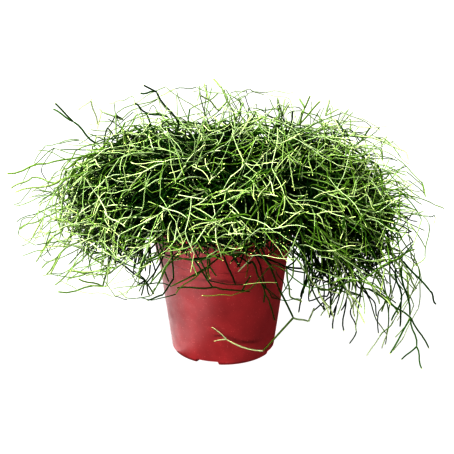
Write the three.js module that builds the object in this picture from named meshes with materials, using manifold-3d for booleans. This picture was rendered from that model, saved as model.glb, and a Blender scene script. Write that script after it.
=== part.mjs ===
import * as THREE from 'three';
import { mergeVertices } from 'three/addons/utils/BufferGeometryUtils.js';
import Module from 'manifold-3d';

// A thin-stemmed mistletoe cactus in its plastic nursery pot.
// Millimetres, +Z up. The origin is on the pot's axis, on the surface that the pot stands on.

const wasm = await Module();
wasm.setup();

const DEG = Math.PI / 180;
const GAP = 0.3;

// Pot
const POT_HEIGHT = 114;
const POT_BASE_RADIUS = 43.5;
const POT_TOP_RADIUS = 60;
const POT_WALL = 1.2;
const POT_SIDES = 36;
const OVERCUT = 5;
const BAND_BOTTOM = 87;
const BAND_STEP = 1.2;
const LIP_HEIGHT = 2.5;
const LIP_STAND = 0.8;
const FLOOR_UNDERSIDE = 5;
const BASE_ROUND = 4;
const BASE_ROUND_STEPS = 3;
const FOOT_WIDTH = 3.5;
const FOOT_COUNT = 4;
const FOOT_TURN = -18 * DEG;
const FOOT_ARCH_WIDTH = 20;
const FOOT_ARCH_HEIGHT = 3.8;
const DRAIN_COUNT = 6;
const DRAIN_RADIUS = 4;
const DRAIN_CIRCLE = 27;
const DRAIN_SIDES = 10;

// Soil
const SOIL_TOP = 100;
const SOIL_SIDES = 24;
const SOIL_LUMP = 0.9;
const HOLE_DEPTH = 12;

// Woody base of a clump
const CROWN_RADIUS = 3.2;
const CROWN_SIDES = 8;
const CROWN_STAND = 4;

// Overall form of the plant
const SPREAD_X = 180;
const SPREAD_Y = 158;
const CROWN_MIDDLE = 128;
const CROWN_TOP = 228;
const SKIRT_DEPTH = 70;
const FRONT_LIFT = 0.3;
const TRAIL_DEPTH = 95;
const TRAIL_AZIMUTH = -20 * DEG;
const TRAIL_NARROWNESS = 24;
const LOWEST_STEM = 14;

// Rings of clumps. Lifts are the angles, above level, at which a clump's leaders aim, and reach is
// how far they go, as a share of the spread. The first ring is the one clump whose spray trails.
const CLUMP_RINGS = [
  { count: 1, radius: 38, start: -20, sector: 24, droop: 1.6, reach: [0.84, 0.94], lifts: [-6, -18, 4] },
  { count: 9, radius: 38, start: 0, sector: 40, droop: 0.3, reach: [0.5, 0.72], lifts: [-12, 10, 34] },
  { count: 5, radius: 15, start: 36, sector: 72, droop: 0.3, reach: [0.5, 0.72], lifts: [48, 64, 82] },
];

// The long stem that hangs in front of the pot, from the clump nearest to it, and the two twigs at
// its tip. Each row is the end of one joint, as shares of the pot's rim radius and height (right,
// forward and up), and how far the joint bows upwards.
const HANGER_CLUMP = 9;
const HANGER_SEED = 1000;
const HANGER_JOINT = { radius: 1.3, steps: 2 };
const HANGER_JOINTS = [
  [0.5, 1.12, 1, 44],
  [0.74, 1.14, 0.7, 3],
  [0.95, 1.02, 0.45, 1],
  [0.55, 0.97, 0.18, 0],
  [0.05, 0.93, 0.26, -5],
];
const HANGER_TWIG = { radius: 0.9, steps: 1 };
const HANGER_TWIGS = [
  [-0.15, 0.95, 0.36, 2],
  [-0.12, 0.95, 0.25, 1],
];

// Leaders, then generations of forks, each with its thickness and its shortest and longest length.
// The first fork at a tip carries its parent on, and the others are joined to it.
const LEADER = { radius: 1.3, steps: 4, rise: [8, 26] };
const LEADER_LEAN = 0.35;
const LIFT_SWING = 12;
const FORKS = [
  { radius: 1.15, steps: 2, length: [46, 72], spread: [18, 50], tip: 2, side: 1 },
  { radius: 1.0, steps: 1, length: [26, 42], spread: [20, 58], tip: 2, side: 1 },
  { radius: 0.9, steps: 1, length: [16, 30], spread: [18, 55], tip: 1, side: 0 },
  { radius: 0.8, steps: 1, length: [12, 22], spread: [18, 50], tip: 1, side: 0 },
];
const ROOT_NARROW = 0.5;
const TIP_NARROW = 0.7;
const BOW = [0.03, 0.13];
const ROOT_SINK = 1.5;
const CROWN_OFFSET = 1.7;
const SHORTEST_TWIG = 2;
const TWIG_DROP = 0.4;
const ROOT_HEIGHT = 1;
const TRIES = 14;

// Room kept between stems, tested at points this far apart along them.
const SAMPLE_STEP = 2;
const STEM_ROOM = 3.3;
const SIBLING_FREE = 5;
const LEADER_FREE = 24;
const POT_ROOM = 2.5;

const STEM_SIDES = 3;
const RING_REACH = 1.5;
const SEED = 2249;

const STEM_COLOURS = [0x86b23a, 0x5b9431, 0x3f7a45];

// ---- Solids ------------------------------------------------------------------------------------

/** Makes a closed geometry into a solid, with shared vertices merged and empty faces dropped. */
function solid(geometry) {
  const bare = geometry.clone();
  bare.deleteAttribute('normal');
  bare.deleteAttribute('uv');
  const merged = mergeVertices(bare, 1e-4);
  const index = merged.index.array;
  const kept = [];
  for (let i = 0; i < index.length; i += 3) {
    const [a, b, c] = [index[i], index[i + 1], index[i + 2]];
    if (a !== b && b !== c && c !== a) kept.push(a, b, c);
  }
  return new wasm.Manifold(new wasm.Mesh({
    numProp: 3,
    vertProperties: new Float32Array(merged.attributes.position.array),
    triVerts: new Uint32Array(kept),
  }));
}

/** Gives a solid back as a geometry. */
function geometryOf(body) {
  const mesh = body.getMesh();
  const geometry = new THREE.BufferGeometry();
  geometry.setAttribute('position', new THREE.BufferAttribute(mesh.vertProperties, mesh.numProp));
  geometry.setIndex(new THREE.BufferAttribute(mesh.triVerts, 1));
  geometry.computeVertexNormals();
  return geometry;
}

/** Turns a profile of [radius, height] points round the Z axis. */
function turned(profile, sides) {
  const points = profile.map(([radius, height]) => new THREE.Vector2(radius, height));
  return new THREE.LatheGeometry(points, sides).rotateX(Math.PI / 2);
}

/** An upright round peg from one height to another. */
function peg(x, y, bottom, top, radius, sides) {
  const geometry = new THREE.CylinderGeometry(radius, radius, top - bottom, sides);
  geometry.rotateX(Math.PI / 2);
  geometry.translate(x, y, (bottom + top) / 2);
  return solid(geometry);
}

function named(name, body, colour, roughness) {
  const material = new THREE.MeshStandardMaterial({ color: colour, roughness, metalness: 0 });
  const mesh = new THREE.Mesh(geometryOf(body), material);
  mesh.name = name;
  return mesh;
}

// ---- Pot and soil ------------------------------------------------------------------------------

const POT_TAPER = (POT_TOP_RADIUS - BAND_STEP - POT_BASE_RADIUS) / POT_HEIGHT;

/** Outer radius of the pot's wall at a height, with the wider band below the rim. */
function wallRadius(height) {
  const band = height > BAND_BOTTOM ? BAND_STEP : 0;
  return POT_BASE_RADIUS + POT_TAPER * height + band;
}

function makePot() {
  const floorTop = FLOOR_UNDERSIDE + POT_WALL;
  const roundCentre = wallRadius(BASE_ROUND) - BASE_ROUND;
  const footInner = roundCentre - FOOT_WIDTH;
  const stepTop = BAND_BOTTOM + BAND_STEP;
  const lipBottom = POT_HEIGHT - LIP_HEIGHT;
  const baseEdge = Array.from({ length: BASE_ROUND_STEPS + 1 }, (_, i) => {
    const angle = i * Math.PI / 2 / BASE_ROUND_STEPS;
    return [roundCentre + BASE_ROUND * Math.sin(angle), BASE_ROUND * (1 - Math.cos(angle))];
  });
  const profile = [
    [0, FLOOR_UNDERSIDE],
    [footInner, FLOOR_UNDERSIDE],
    [footInner, 0],
    ...baseEdge,
    [wallRadius(BAND_BOTTOM), BAND_BOTTOM],
    [wallRadius(stepTop), stepTop],
    [wallRadius(lipBottom), lipBottom],
    [wallRadius(lipBottom) + LIP_STAND, lipBottom],
    [wallRadius(POT_HEIGHT) + LIP_STAND, POT_HEIGHT],
    [wallRadius(POT_HEIGHT) - POT_WALL, POT_HEIGHT],
    [wallRadius(stepTop) - POT_WALL, stepTop],
    [wallRadius(BAND_BOTTOM) - POT_WALL, BAND_BOTTOM],
    [wallRadius(floorTop) - POT_WALL, floorTop],
    [0, floorTop],
  ];
  let pot = solid(turned(profile, POT_SIDES));
  for (let i = 0; i < FOOT_COUNT; i += 1) {
    const depth = 4 * (FOOT_WIDTH + BASE_ROUND);
    const arch = new THREE.BoxGeometry(depth, FOOT_ARCH_WIDTH, 2 * FOOT_ARCH_HEIGHT);
    arch.translate(POT_BASE_RADIUS, 0, 0);
    arch.rotateZ(FOOT_TURN + i * 2 * Math.PI / FOOT_COUNT);
    pot = pot.subtract(solid(arch));
  }
  for (let i = 0; i < DRAIN_COUNT; i += 1) {
    const angle = i * 2 * Math.PI / DRAIN_COUNT;
    const x = DRAIN_CIRCLE * Math.cos(angle);
    const y = DRAIN_CIRCLE * Math.sin(angle);
    pot = pot.subtract(peg(x, y, 0, floorTop + OVERCUT, DRAIN_RADIUS, DRAIN_SIDES));
  }
  return pot;
}

/** The root ball: it follows the pot's inner wall, and its top is a little lumpy. */
function makeSoil(crowns) {
  const inner = (height) => wallRadius(height) - POT_WALL - GAP;
  const bottom = FLOOR_UNDERSIDE + POT_WALL + GAP;
  const stepTop = BAND_BOTTOM + BAND_STEP + GAP;
  const top = inner(SOIL_TOP);
  const profile = [
    [0, bottom],
    [inner(bottom), bottom],
    [inner(BAND_BOTTOM), BAND_BOTTOM],
    [inner(stepTop), stepTop],
    [top, SOIL_TOP],
    [0.6 * top, SOIL_TOP],
    [0, SOIL_TOP],
  ];
  const geometry = turned(profile, SOIL_SIDES);
  const position = geometry.attributes.position;
  for (let i = 0; i < position.count; i += 1) {
    const [x, y, z] = [position.getX(i), position.getY(i), position.getZ(i)];
    const lump = SOIL_LUMP * Math.sin(x / 6.1 + 1) * Math.cos(y / 5.3);
    if (z > SOIL_TOP - 1) position.setZ(i, z + lump);
  }
  let soil = solid(geometry);
  for (const { x, y } of crowns) {
    const hole = peg(x, y, SOIL_TOP - HOLE_DEPTH, SOIL_TOP + OVERCUT, CROWN_RADIUS + GAP, CROWN_SIDES);
    soil = soil.subtract(hole);
  }
  return soil;
}

// ---- Growth ------------------------------------------------------------------------------------

/** A repeatable stream of numbers from 0 to 1. */
function randomFrom(seed) {
  let state = seed >>> 0;
  return () => {
    state = (state + 0x6d2b79f5) >>> 0;
    let mixed = Math.imul(state ^ (state >>> 15), state | 1);
    mixed = (mixed + Math.imul(mixed ^ (mixed >>> 7), mixed | 61)) ^ mixed;
    return ((mixed ^ (mixed >>> 14)) >>> 0) / 4294967296;
  };
}

/** Each stem has a stream of its own, so one stem's luck doesn't change another's. */
function childSeed(seed, child) {
  return (Math.imul(seed, 747796405) + Math.imul(child + 1, 277803737)) >>> 0;
}

const between = ([low, high], share) => low + (high - low) * share;

/** A stem's line: a quadratic curve whose rings lie at even steps of its parameter. */
class StemCurve extends THREE.QuadraticBezierCurve3 {
  getUtoTmapping(u) {
    return u;
  }
}

/** How far down the crown hangs at an azimuth: less in front, more in the trailing spray. */
function hang(azimuth) {
  const front = Math.max(0, -Math.sin(azimuth)) ** 2;
  const trail = Math.max(0, Math.cos(azimuth - TRAIL_AZIMUTH)) ** TRAIL_NARROWNESS;
  return SKIRT_DEPTH * (1 - FRONT_LIFT * front) + TRAIL_DEPTH * trail;
}

/** Below 1 inside the crown: an ellipsoid above its middle and a squarer form below. */
function crownFill({ x, y, z }) {
  const rise = z - CROWN_MIDDLE;
  const half = rise > 0 ? CROWN_TOP - CROWN_MIDDLE : hang(Math.atan2(y, x));
  const out = (x / SPREAD_X) ** 2 + (y / SPREAD_Y) ** 2;
  return (rise > 0 ? out : out ** 2) + (rise / half) ** 2;
}

function hitsPot({ x, y, z }) {
  const radius = Math.hypot(x, y);
  if (z > POT_HEIGHT + POT_ROOM) return false;
  if (radius > wallRadius(z) + LIP_STAND + POT_ROOM) return false;
  const inside = radius < wallRadius(z) - POT_WALL - POT_ROOM;
  return !(inside && z > SOIL_TOP + POT_ROOM);
}

/** Points along a stem's rings, no further apart than the sample step. */
function samplesOf(rings) {
  const samples = [];
  for (let i = 1; i < rings.length; i += 1) {
    const count = Math.ceil(rings[i].distanceTo(rings[i - 1]) / SAMPLE_STEP);
    for (let k = 1; k <= count; k += 1) {
      samples.push(new THREE.Vector3().lerpVectors(rings[i - 1], rings[i], k / count));
    }
  }
  return samples;
}

const grown = [];

/** True where a stem keeps its room from every stem before it. */
function isClear(samples, root, clump, free) {
  const room = STEM_ROOM ** 2;
  return samples.every((point) => {
    const nearRoot = point.distanceTo(root) < free;
    return grown.every((stem) => {
      if (stem.clump === clump && nearRoot) return true;
      if (stem.bounds.distanceToPoint(point) > STEM_ROOM) return true;
      return stem.samples.every((other) => point.distanceToSquared(other) > room);
    });
  });
}

/** Adds a stem if it fits, and says whether it did. */
function addStem({ clump, root, control, end, kind, seed, free, generation, droop, carried }) {
  const curve = new StemCurve(root, control, end);
  const rings = curve.getSpacedPoints(kind.steps);
  const samples = samplesOf(rings);
  const tested = samples.filter((point) => point.distanceTo(root) > CROWN_RADIUS);
  if (tested.some((point) => hitsPot(point) || point.z < LOWEST_STEM)) return false;
  if (!isClear(samples, root, clump, free)) return false;
  const bounds = new THREE.Box3().setFromPoints(samples);
  grown.push({ clump, curve, rings, samples, bounds, seed, generation, droop, carried,
    radius: kind.radius, steps: kind.steps, isCarriedOn: false });
  if (carried) carried.isCarriedOn = true;
  return true;
}

function growLeaders(crowns) {
  crowns.forEach(({ x, y, azimuth, sector, reach: limits, lifts, droop }, clump) => {
    lifts.forEach((lift, i) => {
      const seed = childSeed(SEED + clump, i);
      const random = randomFrom(seed);
      for (let attempt = 0; attempt < TRIES; attempt += 1) {
        const heading = azimuth + sector * (random() - 0.5);
        const tilt = (lift + LIFT_SWING * (random() - 0.5)) * DEG;
        const reach = between(limits, random());
        const aim = new THREE.Vector3(
          Math.cos(tilt) * Math.cos(heading) * SPREAD_X * reach,
          Math.cos(tilt) * Math.sin(heading) * SPREAD_Y * reach,
          CROWN_MIDDLE + Math.sin(tilt) * (CROWN_TOP - CROWN_MIDDLE) * reach,
        );
        const root = new THREE.Vector3(
          x + CROWN_OFFSET * Math.cos(heading),
          y + CROWN_OFFSET * Math.sin(heading),
          SOIL_TOP + ROOT_HEIGHT,
        );
        const control = root.clone().lerp(aim, LEADER_LEAN);
        control.z = Math.max(root.z, aim.z) + between(LEADER.rise, random());
        const stem = { clump, root, control, end: aim, kind: LEADER, seed, droop, generation: 0 };
        if (addStem({ ...stem, free: LEADER_FREE })) return;
      }
    });
  });
}

/** One fork from a ring of its parent, turned until it finds room. */
function growFork(parent, ring, child, kind, generation) {
  const seed = childSeed(parent.seed, child);
  const random = randomFrom(seed);
  const along = parent.curve.getTangent(ring / parent.steps).normalize();
  const atTip = ring === parent.steps;
  const carried = atTip && !parent.isCarriedOn ? parent : null;
  const sink = atTip && !carried ? ROOT_SINK : 0;
  const root = parent.rings[ring].clone().addScaledVector(along, -sink);
  const helper = new THREE.Vector3(0, 0, 1);
  if (Math.abs(along.z) > 0.9) helper.set(1, 0, 0);
  const across = new THREE.Vector3().crossVectors(along, helper).normalize();
  const aside = new THREE.Vector3().crossVectors(along, across);
  for (let attempt = 0; attempt < TRIES; attempt += 1) {
    const spread = between(kind.spread, random()) * DEG;
    const roll = 2 * Math.PI * random();
    const length = between(kind.length, random());
    const bow = between(BOW, random());
    const heading = along.clone().multiplyScalar(Math.cos(spread))
      .addScaledVector(across, Math.sin(spread) * Math.cos(roll))
      .addScaledVector(aside, Math.sin(spread) * Math.sin(roll));
    heading.z -= parent.droop * random();
    const end = root.clone().addScaledVector(heading.normalize(), length);
    const control = root.clone().lerp(end, 0.5);
    control.z += bow * length;
    if (crownFill(end) > 1) continue;
    const { clump, droop } = parent;
    const stem = { clump, root, control, end, kind, seed, generation, droop, carried };
    if (addStem({ ...stem, free: SIBLING_FREE })) return;
  }
}

/** The hanging stem: joint after joint, each carrying the last one on, and the twigs at its tip. */
function growHanger({ x, y, droop }) {
  let root = new THREE.Vector3(x, y, SOIL_TOP + ROOT_HEIGHT);
  let parent = null;
  [...HANGER_JOINTS, ...HANGER_TWIGS].forEach(([right, forward, up, bow], i) => {
    const isTwig = i >= HANGER_JOINTS.length;
    const end = new THREE.Vector3(
      right * POT_TOP_RADIUS,
      -forward * POT_TOP_RADIUS,
      up * POT_HEIGHT,
    );
    const control = root.clone().lerp(end, 0.5);
    control.z += bow;
    const joint = { clump: HANGER_CLUMP, root, control, end, droop, generation: FORKS.length };
    const kind = isTwig ? HANGER_TWIG : HANGER_JOINT;
    const seed = childSeed(SEED, HANGER_SEED + i);
    const carried = parent && !parent.isCarriedOn ? parent : null;
    const free = parent ? SIBLING_FREE : LEADER_FREE;
    if (!addStem({ ...joint, kind, seed, carried, free })) {
      throw new Error(`hanging stem: no room at ${i}`);
    }
    if (isTwig) return;
    parent = grown[grown.length - 1];
    root = end;
  });
}

function growForks() {
  FORKS.forEach((kind, i) => {
    const parents = grown.filter((stem) => stem.generation === i);
    for (const parent of parents) {
      let child = 0;
      for (let k = 0; k < kind.tip; k += 1) {
        growFork(parent, parent.steps, child, kind, i + 1);
        child += 1;
      }
      const sideRing = Math.ceil(parent.steps / 2);
      for (let k = 0; k < kind.side && parent.steps > 1; k += 1) {
        growFork(parent, sideRing, child, kind, i + 1);
        child += 1;
      }
    }
  });
}

/** Grows the furthest tip on each side on by one twig, until it reaches the plant's spread. */
function reachOut() {
  const sides = [['x', 1, SPREAD_X], ['x', -1, SPREAD_X], ['y', 1, SPREAD_Y], ['y', -1, SPREAD_Y]];
  for (const [axis, sign, spread] of sides) {
    const reachOf = (stem) => sign * stem.rings[stem.steps][axis];
    const tips = grown.filter((stem) => !stem.isCarriedOn);
    const carried = tips.reduce((far, stem) => (reachOf(stem) > reachOf(far) ? stem : far));
    const root = carried.rings[carried.steps];
    const missing = spread - reachOf(carried);
    if (missing < SHORTEST_TWIG) continue;
    const end = root.clone();
    end[axis] += sign * missing;
    end.z -= TWIG_DROP * missing;
    const kind = { radius: carried.radius, steps: 1 };
    const { clump, seed, droop } = carried;
    const control = root.clone().lerp(end, 0.5);
    const twig = { clump, root, control, end, kind, seed, droop, generation: FORKS.length };
    addStem({ ...twig, carried, free: SIBLING_FREE });
  }
}

/** Places the clumps' bases on their rings, each with the share of the circle that it fills. */
function placeCrowns() {
  return CLUMP_RINGS.flatMap(({ count, radius, start, sector, ...rest }) => (
    Array.from({ length: count }, (_, i) => {
      const azimuth = start * DEG + i * 2 * Math.PI / count;
      const [x, y] = [radius * Math.cos(azimuth), radius * Math.sin(azimuth)];
      return { x, y, azimuth, sector: sector * DEG, ...rest };
    })
  ));
}

/** A line through a run of rings, with the rings at even steps of its parameter. */
class RingLine extends THREE.Curve {
  constructor(rings) {
    super();
    this.rings = rings;
  }

  getPoint(t) {
    const place = Math.min(Math.max(t, 0), 1) * (this.rings.length - 1);
    const ring = Math.min(Math.floor(place), this.rings.length - 2);
    return new THREE.Vector3().lerpVectors(this.rings[ring], this.rings[ring + 1], place - ring);
  }

  getUtoTmapping(u) {
    return u;
  }
}

/** The rings of a stem and of every stem that carries it on, each with its radius. */
function runOf(stem) {
  const own = stem.rings.map((centre) => ({ centre, radius: stem.radius }));
  const next = grown.find((other) => other.carried === stem);
  return next ? [...own, ...runOf(next).slice(1)] : own;
}

/** A stem, with what carries it on, as one slim bar, narrower at its root and its tip. */
function bar(stem) {
  const run = runOf(stem);
  run[0].radius *= ROOT_NARROW;
  run[run.length - 1].radius *= TIP_NARROW;
  const extrudePath = new RingLine(run.map(({ centre }) => centre));
  const steps = run.length - 1;
  const corners = Array.from({ length: STEM_SIDES }, (_, i) => {
    const angle = i * 2 * Math.PI / STEM_SIDES;
    return new THREE.Vector2(Math.cos(angle), Math.sin(angle));
  });
  const geometry = new THREE.ExtrudeGeometry(new THREE.Shape(corners), { steps, extrudePath });
  const position = geometry.attributes.position;
  const point = new THREE.Vector3();
  for (let i = 0; i < position.count; i += 1) {
    point.fromBufferAttribute(position, i);
    const { centre, radius } = run.find((ring) => ring.centre.distanceTo(point) < RING_REACH);
    point.sub(centre).multiplyScalar(radius).add(centre);
    position.setXYZ(i, point.x, point.y, point.z);
  }
  return solid(geometry);
}

function makeClump({ x, y }, clump) {
  const bottom = SOIL_TOP - HOLE_DEPTH + GAP;
  const base = peg(x, y, bottom, SOIL_TOP + CROWN_STAND, CROWN_RADIUS, CROWN_SIDES);
  return grown.filter((stem) => stem.clump === clump && !stem.carried)
    .reduce((body, stem) => body.add(bar(stem)), base);
}

// ---- The part ----------------------------------------------------------------------------------

const crowns = placeCrowns();
growHanger(crowns[HANGER_CLUMP]);
growLeaders(crowns);
growForks();
reachOut();

const part = new THREE.Group();
part.add(named('pot', makePot(), 0x9c2a26, 0.45));
part.add(named('soil', makeSoil(crowns), 0x2e2118, 1));
crowns.forEach((crown, i) => {
  const name = `stem_clump_${String(i + 1).padStart(2, '0')}`;
  part.add(named(name, makeClump(crown, i), STEM_COLOURS[i % STEM_COLOURS.length], 0.5));
});

export default part;
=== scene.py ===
import math

import bpy
import numpy as np
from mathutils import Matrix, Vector


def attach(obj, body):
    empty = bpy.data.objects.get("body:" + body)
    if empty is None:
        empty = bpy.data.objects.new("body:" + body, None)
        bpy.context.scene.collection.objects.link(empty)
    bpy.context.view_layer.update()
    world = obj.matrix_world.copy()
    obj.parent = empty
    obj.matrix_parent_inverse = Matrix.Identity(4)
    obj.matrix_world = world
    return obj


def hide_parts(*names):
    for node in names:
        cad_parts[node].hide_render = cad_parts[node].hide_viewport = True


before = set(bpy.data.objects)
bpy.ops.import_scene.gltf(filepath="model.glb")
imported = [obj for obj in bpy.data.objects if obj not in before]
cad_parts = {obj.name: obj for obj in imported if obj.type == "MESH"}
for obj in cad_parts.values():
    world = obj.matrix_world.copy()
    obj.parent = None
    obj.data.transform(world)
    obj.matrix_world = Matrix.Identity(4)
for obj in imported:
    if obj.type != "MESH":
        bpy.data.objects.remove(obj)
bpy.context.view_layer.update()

bl_info = {
    "name": "Potted mistletoe cactus",
    "version": (1, 0, 0),
    "blender": (4, 5, 0),
    "location": "3D View > Sidebar > Plant",
    "description": "Builds a thin-stemmed mistletoe cactus in its plastic nursery pot",
    "category": "Add Mesh",
}

DEG = math.pi / 180
MM = 0.001
# The random streams' word length and mixing numbers, as the solids' rule has them.
WORD = 0xFFFFFFFF
STREAM_STEP = 0x6D2B79F5
SEED_FACTOR = 747796405
CHILD_FACTOR = 277803737

# The pot's and the plant's driving sizes, in millimetres, as the solids have them.
POT_HEIGHT = 114.0
POT_BASE_RADIUS = 43.5
POT_TOP_RADIUS = 60.0
POT_WALL = 1.2
BAND_BOTTOM = 87.0
BAND_STEP = 1.2
LIP_HEIGHT = 2.5
LIP_STAND = 0.8
FLOOR_UNDERSIDE = 5.0
BASE_ROUND = 4.0
FOOT_WIDTH = 3.5
FOOT_COUNT = 4
FOOT_TURN = -18 * DEG
FOOT_ARCH_WIDTH = 20.0
FOOT_ARCH_HEIGHT = 3.8
FOOT_ARCH_SLOPE = 0.8
FOOT_ARCH_HOLLOW = 0.12
DRAIN_COUNT = 6
DRAIN_RADIUS = 4.0
DRAIN_CIRCLE = 27.0
GAP = 0.3
SOIL_TOP = 100.0
CROWN_RADIUS = 3.2
SPREAD_X = 180.0
SPREAD_Y = 158.0
CROWN_MIDDLE = 128.0
CROWN_TOP = 228.0
SKIRT_DEPTH = 70.0
FRONT_LIFT = 0.3
TRAIL_DEPTH = 95.0
TRAIL_AZIMUTH = -20 * DEG
TRAIL_NARROWNESS = 24
LOWEST_STEM = 14.0
POT_TAPER = (POT_TOP_RADIUS - BAND_STEP - POT_BASE_RADIUS) / POT_HEIGHT

# The pot's and the soil's finer surfaces: broken edges, sides, rows, and the soil's relief.
EDGE = 0.3
LIP_ROUND = 0.4
DRAIN_SIDES = 32
POT_SIDES = 240
WALL_ROWS = 24
BAND_ROWS = 10
ROUND_ROWS = 9
SHARP = 40 * DEG
SOIL_SIDES = 180
SOIL_ROWS = 46
SOIL_ROUND = 1.5
SOIL_SHOULDER = 0.985
SOIL_LUMPS = 0.9
SOIL_GRIT = 0.8
SOIL_CRUMBS = 0.25

# Rings of clumps: count, radius, start, sector, droop, reach and lifts, with angles in degrees.
CLUMP_RINGS = [
    (1, 38, -20, 24, 1.6, (0.84, 0.94), [-6, -18, 4]),
    (9, 38, 0, 40, 0.3, (0.5, 0.72), [-12, 10, 34]),
    (5, 15, 36, 72, 0.3, (0.5, 0.72), [48, 64, 82]),
]
# The stem that hangs in front of the pot: the ends of its joints and of the twigs at its tip, as
# shares of the pot's rim radius and height (right, forward, up), and how far each joint bows up.
HANGER_CLUMP = 9
HANGER_SEED = 1000
HANGER_JOINTS = [
    (0.5, 1.12, 1.0, 44),
    (0.74, 1.14, 0.7, 3),
    (0.95, 1.02, 0.45, 1),
    (0.55, 0.97, 0.18, 0),
    (0.05, 0.93, 0.26, -5),
]
HANGER_TWIGS = [
    (-0.15, 0.95, 0.36, 2),
    (-0.12, 0.95, 0.25, 1),
]
# The tones of the hanger's joints and twigs, in order: their own paleness toward the tip, and
# painted light that makes the joint across the pot's front pale where the crown shades it.
HANGER_SHADES = (0.5, 0.45, 0.5, 0.62, 0.98, 0.92, 0.96)
HANGER_JOINT = {"radius": 1.3, "steps": 2}
HANGER_TWIG = {"radius": 0.9, "steps": 1}
LEADER = {"radius": 1.3, "steps": 4, "rise": (8, 26)}
LEADER_LEAN = 0.35
LIFT_SWING = 12
FORKS = [
    {"radius": 1.15, "steps": 2, "length": (46, 72), "spread": (18, 50), "tip": 2, "side": 1},
    {"radius": 1.0, "steps": 1, "length": (26, 42), "spread": (20, 58), "tip": 2, "side": 1},
    {"radius": 0.9, "steps": 1, "length": (16, 30), "spread": (18, 55), "tip": 1, "side": 0},
    {"radius": 0.8, "steps": 1, "length": (12, 22), "spread": (18, 50), "tip": 1, "side": 0},
]
BOW = (0.03, 0.13)
ROOT_SINK = 1.5
ROOT_HEIGHT = 1
CROWN_OFFSET = 1.7
SHORTEST_TWIG = 2
TWIG_DROP = 0.4
# A stem is tried a few times. It keeps its room from the pot and from other stems, but within the
# free length from its root it may touch its own clump.
TRIES = 14
SAMPLE_STEP = 2
POT_ROOM = 2.5
STEM_ROOM = 3.3
SIBLING_FREE = 5
LEADER_FREE = 24
UPRIGHT = 0.9
NEARBY = 1e-4
SEED = 2249

# The fine stems: slimmer than the solids' bars, bent and swaying between the same two ends. A pair
# that is called a zone, here and below, is where a change starts and the span that it takes. The
# wisps that stand out of the infill's form are thinner and straighter, and the top sags.
FINE_RADIUS = 0.56
FINE_THICKENING = 0.5
FOLLOW = 0.08
CARRIED_FOLLOW = 0.38
WISP_THINNING = 0.46
THIN_ZONE = (0.9, 0.6)
WISP_STRAIGHTENING = 0.5
STRAIGHT_ZONE = (1.0, 0.3)
FINE_BOW = (-0.07, 0.15)
FINE_SIDE = 0.3
SWAY = 0.1
TOP_SAG = 0.16
TOP_LIFT = 0.9
TOP_ZONE = (165.0, 35.0)
FINE_STREAM = 0x5BD1E995
OFF_AXIS = np.array([0.31, 0.17, 0.94])

# A stem's tone: some play, and painted light and shade for its place. The infill's surface is
# painted paler than its inside, above all at the middle of the front, and the lee, low on the
# right, is painted darker.
SHADE_PLAY = 0.42
PAINTED_LIGHT_SHARE = 0.6
CENTRE_X = 20.0
CENTRE_WIDTH = 80.0
CENTRE_LEVEL = 1.2
CENTRE_DEPTH = 40.0
CENTRE_INSET = 0.1
SURFACE_ZONE = (0.6, 0.3)
WISP_ZONE = (1.1, 0.3)
PAINTED_TOP_ZONE = (160.0, 35.0)
LEE_RIGHT_ZONE = (-70.0, 140.0)
LEE_LOW_ZONE = (155.0, -50.0)
RIM_LOW_ZONE = (130.0, -20.0)
RIM_SIDE_ZONE = (80.0, -20.0)
RIGHT_ZONE = (0.0, 120.0)
PAINTED_BASE_LIGHT = 0.82
PAINTED_FRONT_LIGHT = 0.2
LEE_SHADE = 0.1
LEE_BACK_SHADE = 0.55
RIGHT_SHADE = 0.2
RIM_SHADE = 0.5
WISP_SHADE = 0.15
PAINTED_TOP_LIGHT = 0.18

# The finer growth that fills the crown: more leaders from each clump, and whorls of forks.
INFILL_LEADERS = 5
INFILL_REACH = (0.25, 0.62)
INFILL_LIFTS = (-20, 80)
INFILL_SECTOR = 1.6
INFILL = [
    {"length": (44, 70), "spread": (16, 50), "tip": 3, "side": 2},
    {"length": (28, 48), "spread": (20, 60), "tip": 3, "side": 1},
    {"length": (20, 36), "spread": (22, 68), "tip": 2, "side": 1},
    {"length": (12, 28), "spread": (22, 68), "tip": 2, "side": 0},
]
INFILL_TRIES = 4
INFILL_CHILD = 50
INFILL_SEED = 500
SIDE_PLACE = 0.45
SIDE_STEP = 0.3
SIDE_SEEDS = 10
WHORL_SEED = 1000
WHORL_PLAY = 0.3
CLEAR_PLACES = (0.3, 0.5, 0.7, 0.85, 1)
LAST_GENERATION = len(FORKS)

# The infill's own form: an ellipsoid with squarer shoulders, a little to the right of the pot's
# axis. It is full inside the first share and fades to a few wisps. The skirt under it is thin, and
# its shortest twigs are fewer still, but it is fuller to the left and the right of the pot.
FILL_X = 140.0
FILL_Y = 128.0
FILL_SHIFT = 2.0
FILL_RISE = 69.0
FILL_SQUARE = 1.15
FULL_WITHIN = 0.78
NONE_BEYOND = 1.08
EDGE_KEEP = 0.03
SKIRT_TOP = 108.0
SKIRT_KEEP = 0.42
SKIRT_LEAST = 0.1
SKIRT_FADE = 45.0
SKIRT_TWIG_TOP = 125.0
SKIRT_TWIG_FADE = 30.0
SKIRT_TWIG_KEEP = 0.15
SKIRT_TWIG_RIGHT = 0.5
RIM_WIDTH = 62.0
RIM_ZONE = (117.0, 16.0)
RIM_KEEP = 0.06
RIGHT_AZIMUTH = -15 * DEG
RIGHT_SKIRT = 0.18
RIGHT_EDGE = 0.1
RIGHT_WIDER = 12.0
RIGHT_WIDER_DEPTH = 30.0
RIGHT_THINNING = 0.25
LEFT_AZIMUTH = -150 * DEG
LEFT_SKIRT = 0.5
LEFT_THINNING = 0.6
SIDE_POWER = 3
# More short twigs on the shell that faces the front, above the pot.
FACE_TIPS = 2
FACE_X = 30.0
FACE_WIDTH = 85.0
FACE_Y = -35.0
FACE_Z = 138.0
FACE_FILL = 0.35
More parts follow.
